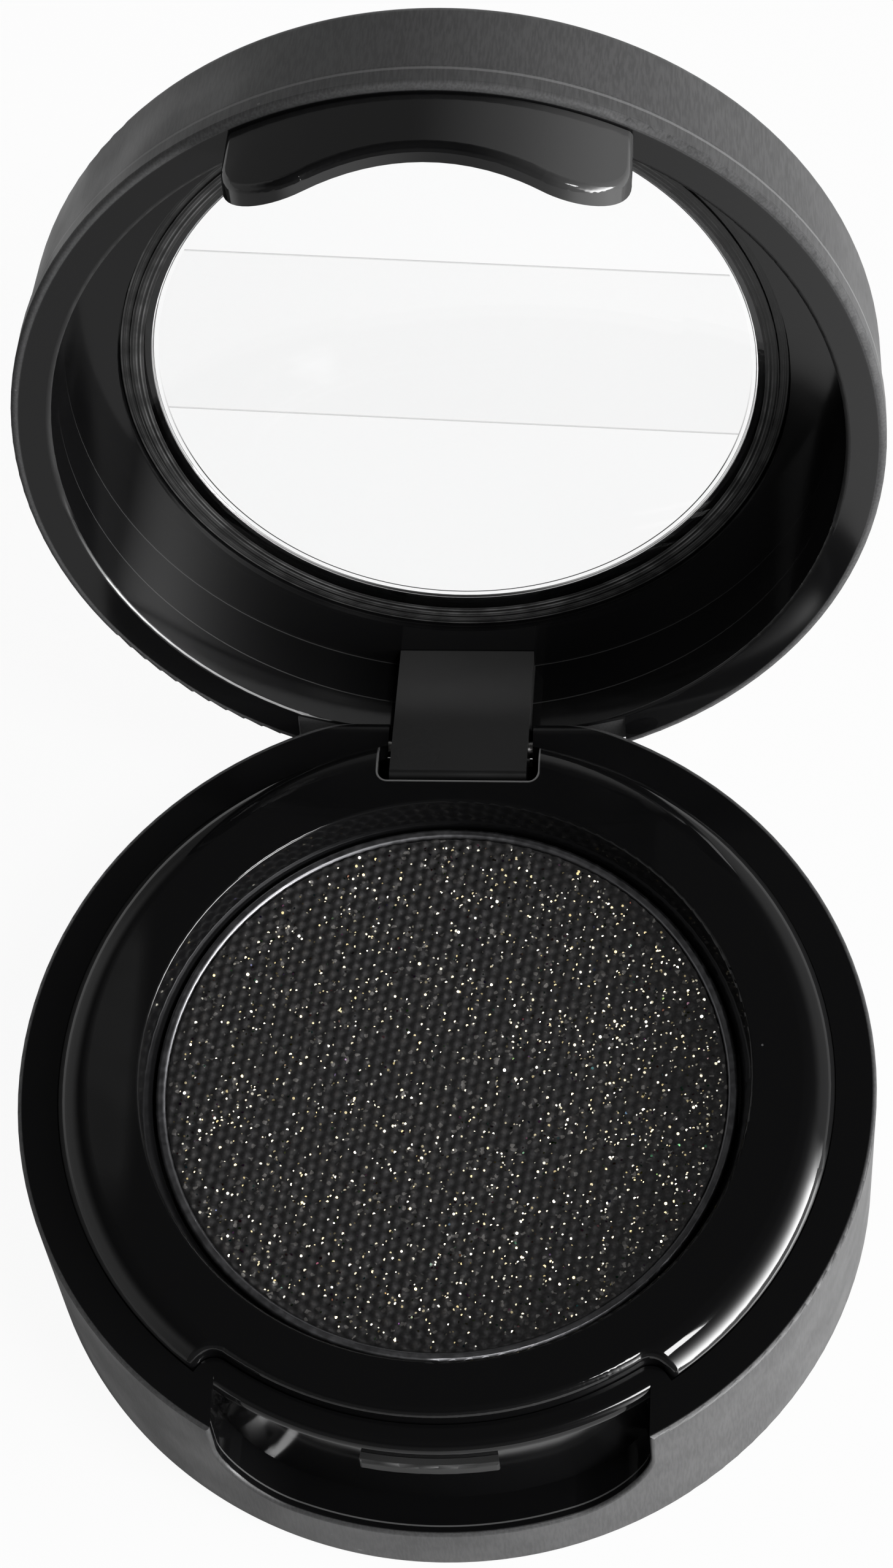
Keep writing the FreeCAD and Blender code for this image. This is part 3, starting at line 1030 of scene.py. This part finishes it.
class CompactWindowSettings(bpy.types.PropertyGroup):
    tint: bpy.props.FloatVectorProperty(
        name="Window tint", description="Colour that the clear plastic gives to light", subtype="COLOR",
        default=(0.998, 0.999, 1.0), min=0, max=1,
    )
    step_width: bpy.props.FloatProperty(
        name="Step width", description="Width of the step round the window's edge", unit="LENGTH",
        default=0.45 * MM, min=0, precision=6,
    )
    step_depth: bpy.props.FloatProperty(
        name="Step depth", description="Depth of the step round the window's edge", unit="LENGTH",
        default=0.12 * MM, min=0, precision=6,
    )
    plug_radius: bpy.props.FloatProperty(
        name="Plug radius", description="Radius of the shallow plug that fills the lid's hole", unit="LENGTH",
        default=13.52 * MM, min=0, precision=6,
    )
    plug_height: bpy.props.FloatProperty(
        name="Plug height", description="Height of the plug above its seat", unit="LENGTH",
        default=0.34 * MM, min=0, precision=6,
    )
    glue_radius: bpy.props.FloatProperty(
        name="Glue radius", description="Radius from which glue backs the window's edge", unit="LENGTH",
        default=13.92 * MM, min=0, precision=6,
    )
    seat_gap: bpy.props.FloatProperty(
        name="Seat gap", description="Glue line between the window and its seat", unit="LENGTH",
        default=0.012 * MM, min=0, precision=6,
    )
    film_turn: bpy.props.FloatProperty(
        name="Film turn", description="Turn of the film strip in the window", subtype="ANGLE",
        default=math.radians(3.3),
    )
    film_shift: bpy.props.FloatProperty(
        name="Film shift", description="From the window's middle to the film's middle line", unit="LENGTH",
        default=-1.3 * MM, precision=6,
    )
    film_width: bpy.props.FloatProperty(
        name="Film width", description="Width of the film strip", unit="LENGTH",
        default=8.9 * MM, min=0, precision=6,
    )
    film_lift: bpy.props.FloatProperty(
        name="Film lift", description="Air between the film and the window", unit="LENGTH",
        default=0.015 * MM, min=0, precision=6,
    )


def clear_plastic(name, tint):
    """Clear plastic with faint smears and a painted dark line of shade round the plug's edge at the hinge
    side.
    """
    smear_size = 2.5 * MM
    smear_tint = shaded(tint, 0.997)
    smear_roughness = 0.02
    line_colour = grey(0.004)
    line_radius = FILM_RADIUS + 0.02 * MM
    line_half_width = 0.028 * MM
    line_height = closed_heights("lid_window")[1] + 0.1 * MM
    clear_along = -1 * MM
    full_along = 6 * MM
    material, tree, sockets = new_material(name, IOR=1.3, Transmission_Weight=1.0)
    place = closed_lid_place(tree)
    smears = noise(tree, place, smear_size, detail=3.0)
    feed(tree, sockets["Roughness"], blend_range(tree, smears, 0.45, 0.75, 0.0, smear_roughness))
    radius, height = radius_and_height(tree, place)
    _, along = across_and_along(tree, place)
    # Painted shade: a dark line where the plug's edge shows dark, fading in towards the hinge.
    line = product(
        tree,
        near(tree, radius, line_radius, line_half_width),
        above(tree, height, line_height),
        blend_range(tree, along, clear_along, full_along),
    )
    plain = mix_colour(tree, smears, smear_tint, tint)
    feed(tree, sockets["Base Color"], mix_colour(tree, line, plain, line_colour))
    return material


def glued_edge_material():
    """The window's edge where black glue backs it: glossy, with fine turned rings."""
    ring_size = 0.1 * MM
    ring_depth = 0.004 * MM
    ring_colour = grey(0.13)
    glue_colour = grey(0.006)
    smoothest = 0.12
    roughest = 0.3
    smear_size = 1.1 * MM
    material, tree, sockets = new_material("Glued window edge", IOR=1.5)
    place = closed_lid_place(tree)
    radius, _ = radius_and_height(tree, place)
    rings = add_node(tree, "ShaderNodeCombineXYZ")
    feed(tree, rings.inputs["X"], radius)
    lines = noise(tree, rings.outputs[0], ring_size, detail=3.0)
    smears = blend_range(tree, noise(tree, place, smear_size, detail=4.0), 0.35, 0.7, 0.3, 1.0)
    pale = product(tree, blend_range(tree, lines, 0.42, 0.66), smears)
    feed(tree, sockets["Base Color"], mix_colour(tree, pale, glue_colour, ring_colour))
    feed(tree, sockets["Roughness"], blend_range(tree, lines, 0.3, 0.7, smoothest, roughest))
    feed(tree, sockets["Normal"], bump(tree, lines, ring_depth))
    return material


def swing_open(mesh):
    """Turn a piece that was modelled on the closed lid to where the lid stands open."""
    bmesh.ops.rotate(mesh, verts=mesh.verts, cent=HINGE_PLACE, matrix=CLOSING_TURN.transposed())


def make_window_mesh(settings):
    """Clear disc with a shallow plug in the lid's hole and a stepped edge, spun from its section."""
    merge_distance = 0.001 * MM
    corner_break = 0.04 * MM
    sharp_angle = math.radians(60)
    flat_slope = 0.999
    inner, outer = closed_heights("lid_window")
    step_radius = WINDOW_RADIUS - settings.step_width
    step_height = inner + settings.step_depth
    seat_height = outer - settings.seat_gap
    plug_top = outer + settings.plug_height
    section = (
        (0, plug_top),
        (settings.plug_radius, plug_top),
        (settings.plug_radius, seat_height),
        (WINDOW_RADIUS, seat_height),
        (WINDOW_RADIUS, step_height),
        (step_radius, step_height),
        (step_radius, inner),
        (settings.glue_radius, inner),
        (0, inner),
    )
    mesh = bmesh.new()
    points = [mesh.verts.new((across, 0, height)) for across, height in section]
    for first, second in zip(points, points[1:]):
        mesh.edges.new((first, second))
    bmesh.ops.spin(
        mesh, geom=mesh.verts[:] + mesh.edges[:], cent=(0, 0, 0), axis=(0, 0, 1), angle=2 * math.pi,
        steps=160, use_merge=True,
    )
    bmesh.ops.remove_doubles(mesh, verts=mesh.verts, dist=merge_distance)
    bmesh.ops.recalc_face_normals(mesh, faces=mesh.faces)
    corners = [edge for edge in mesh.edges if edge.calc_face_angle(0.0) > sharp_angle]
    bmesh.ops.bevel(
        mesh, geom=corners, offset=corner_break, segments=3, profile=0.5, affect="EDGES", material=-1
    )
    for face in mesh.faces:
        face.smooth = abs(face.normal.z) < flat_slope
        middle = face.calc_center_median()
        is_under_seat = middle.z < outer - 2 * settings.seat_gap
        is_glued = is_under_seat and middle.xy.length > settings.glue_radius
        face.material_index = 1 if is_glued else 0
    swing_open(mesh)
    return mesh


def make_film_mesh(settings):
    """Strip cut from a disc, laid just clear of the window's outer face and swung open with the lid."""
    low, high = closed_heights("window_label")
    low += settings.plug_height + settings.film_lift
    high += settings.plug_height
    mesh = bmesh.new()
    bmesh.ops.create_circle(mesh, cap_ends=True, segments=128, radius=FILM_RADIUS)
    turn = Matrix.Rotation(settings.film_turn, 3, "Z")
    for side in (-1, 1):
        normal = turn @ Vector((0, side, 0))
        edge = turn @ Vector((0, settings.film_shift + side * settings.film_width / 2, 0))
        bmesh.ops.bisect_plane(
            mesh, geom=mesh.verts[:] + mesh.edges[:] + mesh.faces[:], plane_co=edge, plane_no=normal,
            clear_outer=True,
        )
    bmesh.ops.translate(mesh, verts=mesh.verts, vec=(0, 0, low))
    lifted = bmesh.ops.extrude_face_region(mesh, geom=mesh.faces[:])["geom"]
    upper = [item for item in lifted if isinstance(item, bmesh.types.BMVert)]
    bmesh.ops.translate(mesh, verts=upper, vec=(0, 0, high - low))
    bmesh.ops.recalc_face_normals(mesh, faces=mesh.faces)
    swing_open(mesh)
    return mesh


def film_material(settings):
    """Film that is all but invisible, except along its two cut edges."""
    clear_alpha = 0.018
    clear_colour = grey(0.4)
    edge_alpha = 0.22
    edge_colour = grey(0.3)
    half_width = settings.film_width / 2
    edge_start = half_width - 0.07 * MM
    edge_end = half_width - 0.03 * MM
    material, tree, sockets = new_material("Clear film", Roughness=0.15)
    strip = add_node(tree, "ShaderNodeMapping")
    feed(tree, strip.inputs["Vector"], closed_lid_place(tree))
    turn = Matrix.Rotation(-settings.film_turn, 3, "Z")
    middle = Vector((0, settings.film_shift, 0))
    strip.inputs["Rotation"].default_value = (0, 0, -settings.film_turn)
    strip.inputs["Location"].default_value = -(turn @ middle)
    _, aside = across_and_along(tree, strip.outputs[0])
    edge = blend_range(tree, calc(tree, "ABSOLUTE", aside), edge_start, edge_end)
    feed(tree, sockets["Base Color"], mix_colour(tree, edge, clear_colour, edge_colour))
    feed(tree, sockets["Alpha"], mix_value(tree, edge, clear_alpha, edge_alpha))
    return material


class COMPACT_OT_window(bpy.types.Operator):
    """Model the lid's clear window and the film on it"""
    bl_idname = "compact.window"
    bl_label = "Window and film"

    def execute(self, context):
        settings = context.scene.compact_window
        window = new_piece("clear_window", make_window_mesh(settings), "lid")
        window.data.materials.append(clear_plastic("Clear window", settings.tint))
        window.data.materials.append(glued_edge_material())
        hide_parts("lid_window")
        film = new_piece("film_strip", make_film_mesh(settings), "lid")
        film.data.materials.append(film_material(settings))
        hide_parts("window_label")
        return {"FINISHED"}


# Floor, lights and camera

class CompactStageSettings(bpy.types.PropertyGroup):
    floor_colour: bpy.props.FloatVectorProperty(
        name="Floor colour", description="Colour of the floor", subtype="COLOR",
        default=(0.75, 0.75, 0.75), min=0, max=1,
    )
    white_share: bpy.props.FloatProperty(
        name="White share", description="How white the floor looks to the camera", subtype="FACTOR",
        default=0.94, min=0, max=1,
    )
    mirror_share: bpy.props.FloatProperty(
        name="Mirror share", description="How grey the floor looks in mirror images", subtype="FACTOR",
        default=0.6, min=0, max=1,
    )
    mirror_shade: bpy.props.FloatProperty(
        name="Mirror shade", description="Brightness of that grey on the shaded left", default=0.28, min=0,
    )
    mirror_light: bpy.props.FloatProperty(
        name="Mirror light", description="Brightness of that grey on the lit right", default=1.4, min=0,
    )
    floor_radius: bpy.props.FloatProperty(
        name="Floor radius", description="Radius of the round floor", unit="LENGTH", default=3.0, min=0.1,
    )
    target: bpy.props.FloatVectorProperty(
        name="Target", description="Point that the camera looks at", subtype="TRANSLATION",
        default=(-0.000554, 0.014965, RIM_HEIGHT),
    )
    azimuth: bpy.props.FloatProperty(
        name="Azimuth", description="Camera's turn about the compact, from the front", subtype="ANGLE",
        default=math.radians(8.57),
    )
    elevation: bpy.props.FloatProperty(
        name="Elevation", description="Camera's height above the table, as an angle", subtype="ANGLE",
        default=math.radians(61.36),
    )
    roll: bpy.props.FloatProperty(
        name="Roll", description="Camera's turn about its own line of sight", subtype="ANGLE",
        default=math.radians(-7.03),
    )
    distance: bpy.props.FloatProperty(
        name="Distance", description="From the camera to its target", unit="LENGTH", default=0.1996, min=0.01,
    )
    lens: bpy.props.FloatProperty(
        name="Lens", description="Focal length in millimetres on a 36 mm sensor", default=99.51, min=1,
    )
    softbox: bpy.props.FloatProperty(
        name="Softbox", description="Brightness of the softbox on the right, at the table",
        default=27.0, min=0,
    )
    softbox_height: bpy.props.FloatProperty(
        name="Softbox height", description="Rise at which the softbox has faded to about a third",
        default=0.34, min=0.01,
    )
    softbox_turn: bpy.props.FloatProperty(
        name="Softbox turn", description="Direction of the softbox from the compact", subtype="ANGLE",
        default=math.radians(-20),
    )
    high_light: bpy.props.FloatProperty(
        name="High light", description="Power of the panel high up on the front right", unit="POWER",
        default=0.8, min=0,
    )
    horizon: bpy.props.FloatProperty(
        name="Horizon", description="Brightness of the white surround near the table", default=0.52, min=0,
    )
    front_share: bpy.props.FloatProperty(
        name="Front share", description="Brightness of the surround in front, as a share of the rest",
        subtype="FACTOR", default=0.3, min=0, max=1,
    )
    overhead: bpy.props.FloatProperty(
        name="Overhead", description="Brightness of the dark space overhead", default=0.045, min=0,
    )


def straight_sight(tree):
    """1 for what the camera sees straight or through clear plastic; and 1 for mirror images."""
    path = add_node(tree, "ShaderNodeLightPath")
    seen = largest(tree, path.outputs["Is Camera Ray"], path.outputs["Is Transmission Ray"])
    direct = below(tree, path.outputs["Glossy Depth"], 0.5)
    return product(tree, seen, direct), path.outputs["Is Glossy Ray"]


def white_to_sight(tree, shader, settings):
    """Shader mixed with plain white for the camera and, by a smaller share, with grey for mirror images."""
    shaded_side = -30 * MM
    lit_side = 50 * MM
    behind_from = 30 * MM
    behind_level = 0.75
    seen, reflected = straight_sight(tree)
    across, along = across_and_along(tree, object_place(tree))
    level = blend_range(tree, across, shaded_side, lit_side, settings.mirror_shade, settings.mirror_light)
    level = mix_value(tree, blend_range(tree, along, 0.0, behind_from), level, behind_level)
    plain = add_node(tree, "ShaderNodeEmission")
    feed(tree, plain.inputs["Strength"], mix_value(tree, seen, level, 1.0))
    share = largest(
        tree, product(tree, seen, settings.white_share), product(tree, reflected, settings.mirror_share)
    )
    mixed = add_node(tree, "ShaderNodeMixShader")
    for socket, source in zip(mixed.inputs, (share, shader, plain.outputs[0])):
        feed(tree, socket, source)
    return mixed.outputs[0]


def make_floor(settings):
    """Round floor, just clear of the compact's underside."""
    floor_gap = 0.02 * MM
    mesh = bmesh.new()
    bmesh.ops.create_circle(mesh, cap_ends=True, segments=96, radius=settings.floor_radius)
    bmesh.ops.translate(mesh, verts=mesh.verts, vec=(0, 0, cad_box[0][2] - floor_gap))
    floor = new_object("floor", mesh)
    material = bpy.data.materials.new("Pale floor")
    material.use_nodes = True
    tree = material.node_tree
    tree.nodes.clear()
    diffuse = add_node(tree, "ShaderNodeBsdfDiffuse")
    diffuse.inputs["Color"].default_value = (*settings.floor_colour, 1)
    output = add_node(tree, "ShaderNodeOutputMaterial")
    feed(tree, output.inputs["Surface"], white_to_sight(tree, diffuse.outputs[0], settings))
    floor.data.materials.append(material)


def softbox_level(tree, across, along, height, settings):
    """Brightness of the tall softbox on the right, strongest at the table and fading upward."""
    full_aside = 0.38
    dark_aside = 0.56
    dark_toward = 0.2
    full_toward = 0.4
    cosine = math.cos(settings.softbox_turn)
    sine = math.sin(settings.softbox_turn)
    toward = calc(tree, "ADD", product(tree, across, cosine), product(tree, along, sine))
    aside = calc(tree, "ADD", product(tree, across, -sine), product(tree, along, cosine))
    slope = calc(tree, "DIVIDE", height, settings.softbox_height)
    return product(
        tree,
        blend_range(tree, calc(tree, "ABSOLUTE", aside), full_aside, dark_aside, 1.0, 0.0),
        blend_range(tree, toward, dark_toward, full_toward),
        calc(tree, "EXPONENT", product(tree, slope, slope, -1.0)),
        settings.softbox,
    )


def make_world(settings):
    """Pale horizon with a softbox on the right, dark overhead, and plain white to the camera."""
    dim_share = 0.35
    world = bpy.data.worlds.new("Studio")
    bpy.context.scene.world = world
    world.use_nodes = True
    tree = world.node_tree
    tree.nodes.clear()
    direction = add_node(tree, "ShaderNodeTexCoord").outputs["Generated"]
    across, along, height = split_place(tree, direction)
    surround = blend_range(tree, height, 0.4, 0.78, settings.horizon, settings.overhead)
    front = blend_range(tree, along, -0.75, -0.25, settings.front_share, 1.0)
    left = blend_range(tree, across, -0.12, 0.12, 1.0, 0.0)
    back_left = product(tree, blend_range(tree, along, 0.6, 0.8), left)
    surround = product(tree, surround, front, mix_value(tree, back_left, 1.0, dim_share))
    level = calc(tree, "ADD", surround, softbox_level(tree, across, along, height, settings))
    seen, _ = straight_sight(tree)
    background = add_node(tree, "ShaderNodeBackground")
    feed(tree, background.inputs["Strength"], mix_value(tree, seen, level, 1.0))
    output = add_node(tree, "ShaderNodeOutputWorld")
    feed(tree, output.inputs["Surface"], background.outputs[0])


def add_high_panel(power):
    """Square soft light high up on the front right, aimed at the compact."""
    place = Vector((0.19, -0.123, 0.39))
    side = 0.11
    light = bpy.data.lights.new("high_panel", "AREA")
    light.shape = "RECTANGLE"
    light.size = side
    light.size_y = side
    light.energy = power
    lamp = bpy.data.objects.new("high_panel", light)
    lamp.location = place
    lamp.rotation_euler = (Vector((0, 0, RIM_HEIGHT)) - place).to_track_quat("-Z", "Y").to_euler()
    bpy.context.scene.collection.objects.link(lamp)


def make_camera(settings):
    """Camera on a turned and raised line of sight, rolled about it."""
    level_reach = math.cos(settings.elevation)
    toward = Vector((
        math.sin(settings.azimuth) * level_reach,
        -math.cos(settings.azimuth) * level_reach,
        math.sin(settings.elevation),
    ))
    level_right = Vector((math.cos(settings.azimuth), math.sin(settings.azimuth), 0))
    level_up = toward.cross(level_right)
    right = math.cos(settings.roll) * level_right + math.sin(settings.roll) * level_up
    up = toward.cross(right)
    place = Vector(settings.target) + settings.distance * toward
    data = bpy.data.cameras.new("camera")
    data.sensor_width = 36
    data.lens = settings.lens
    data.clip_start = 0.01
    data.clip_end = 20
    camera = bpy.data.objects.new("camera", data)
    turn = Matrix((right, up, toward)).transposed().to_4x4()
    camera.matrix_world = Matrix.Translation(place) @ turn
    bpy.context.scene.collection.objects.link(camera)
    bpy.context.scene.camera = camera


class COMPACT_OT_stage(bpy.types.Operator):
    """Set up the pale floor, the studio lights and the camera"""
    bl_idname = "compact.stage"
    bl_label = "Stage"

    def execute(self, context):
        settings = context.scene.compact_stage
        make_floor(settings)
        make_world(settings)
        add_high_panel(settings.high_light)
        make_camera(settings)
        context.scene.view_settings.view_transform = "Standard"
        return {"FINISHED"}


# Sidebar and registration

SETTINGS = {
    "compact_moulding": CompactMouldingSettings,
    "compact_metal": CompactMetalSettings,
    "compact_powder": CompactPowderSettings,
    "compact_glitter": CompactGlitterSettings,
    "compact_window": CompactWindowSettings,
    "compact_stage": CompactStageSettings,
}
OPERATORS = (
    COMPACT_OT_black_mouldings,
    COMPACT_OT_metal_and_glue,
    COMPACT_OT_pressed_powder,
    COMPACT_OT_glitter,
    COMPACT_OT_window,
    COMPACT_OT_stage,
)


class COMPACT_PT_builder(bpy.types.Panel):
    bl_label = "Eyeshadow compact"
    bl_idname = "COMPACT_PT_builder"
    bl_space_type = "VIEW_3D"
    bl_region_type = "UI"
    bl_category = "Compact"

    def draw(self, context):
        for operator in OPERATORS:
            self.layout.operator(operator.bl_idname)
        for name, group in SETTINGS.items():
            box = self.layout.box()
            for setting in group.__annotations__:
                box.prop(getattr(context.scene, name), setting)


def register():
    for group in (*SETTINGS.values(), *OPERATORS, COMPACT_PT_builder):
        bpy.utils.register_class(group)
    for name, group in SETTINGS.items():
        setattr(bpy.types.Scene, name, bpy.props.PointerProperty(type=group))


def unregister():
    for name in SETTINGS:
        delattr(bpy.types.Scene, name)
    for group in (COMPACT_PT_builder, *OPERATORS, *SETTINGS.values()):
        bpy.utils.unregister_class(group)


def main():
    register()
    bpy.ops.compact.black_mouldings()
    bpy.ops.compact.metal_and_glue()
    bpy.ops.compact.pressed_powder()
    bpy.ops.compact.glitter()
    bpy.ops.compact.window()
    bpy.ops.compact.stage()


if __name__ == "__main__":
    main()
